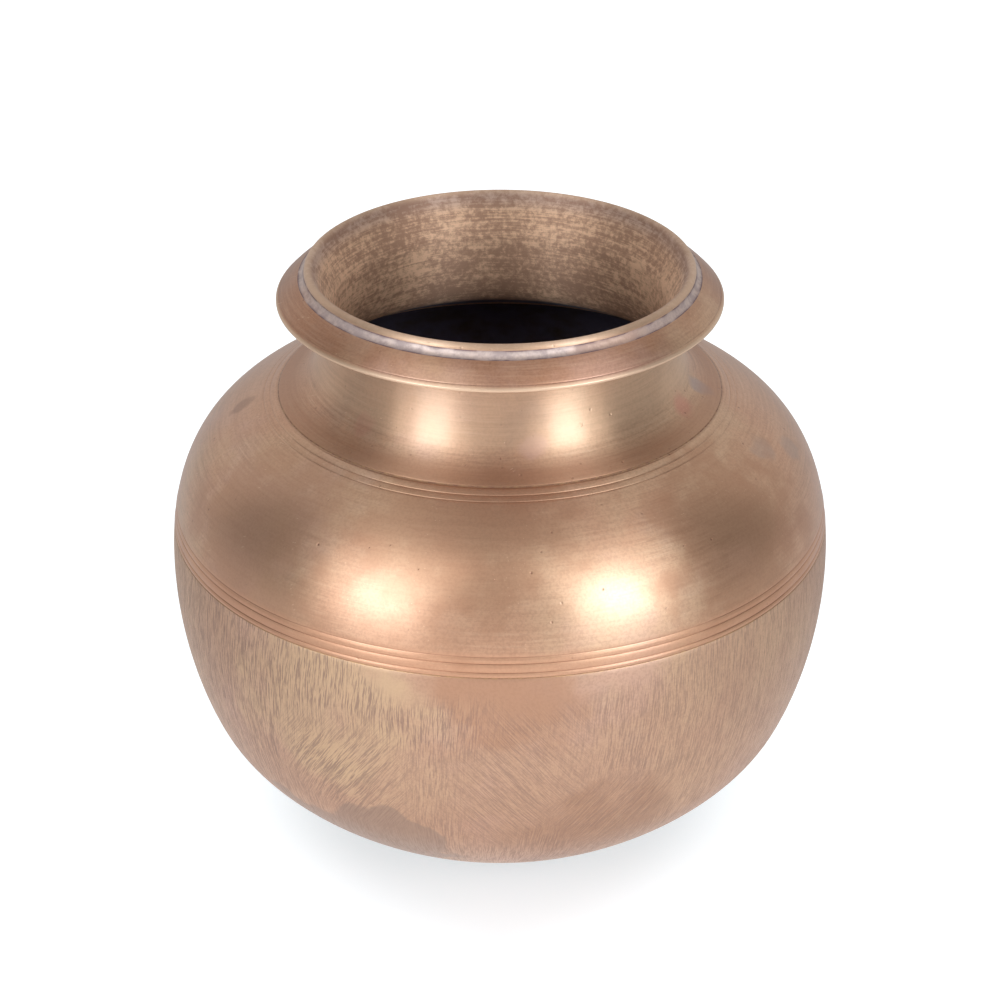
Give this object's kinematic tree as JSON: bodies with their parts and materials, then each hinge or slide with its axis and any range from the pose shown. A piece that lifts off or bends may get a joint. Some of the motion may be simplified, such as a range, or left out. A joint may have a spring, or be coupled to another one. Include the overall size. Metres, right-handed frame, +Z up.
{
  "type": "lota water pot",
  "caption": "Round-bellied brass water pot with a waisted neck, a turned collar soldered under the lip, scored lines at belly and neck, and a flat base.",
  "frame": {"origin": "centre of the flat resting face under the pot", "axes": "+Z up along the pot's axis, out of the mouth; X and Y level, and alike all round"},
  "size_m": [0.168, 0.168, 0.1547],
  "materials": {
    "filed_brass": "filed by hand with short strokes, satin, aged",
    "turned_brass": "turned with fine rings, satin, aged",
    "neck_brass": "turned with fine rings, satin outside and tarnished inside",
    "collar_brass": "turned with fine rings, satin, edge worn bright",
    "soft_solder": "wiped dull grey solder",
    "spelter": "filed flush, golden"
  },
  "bodies": {
    "root": {"lower_bowl": "filed_brass", "shoulder_shell": "turned_brass", "neck": "neck_brass", "rim_collar": "collar_brass", "rim_solder": "soft_solder", "belly_braze": "spelter", "neck_braze": "spelter"}
  },
  "joints": []
}
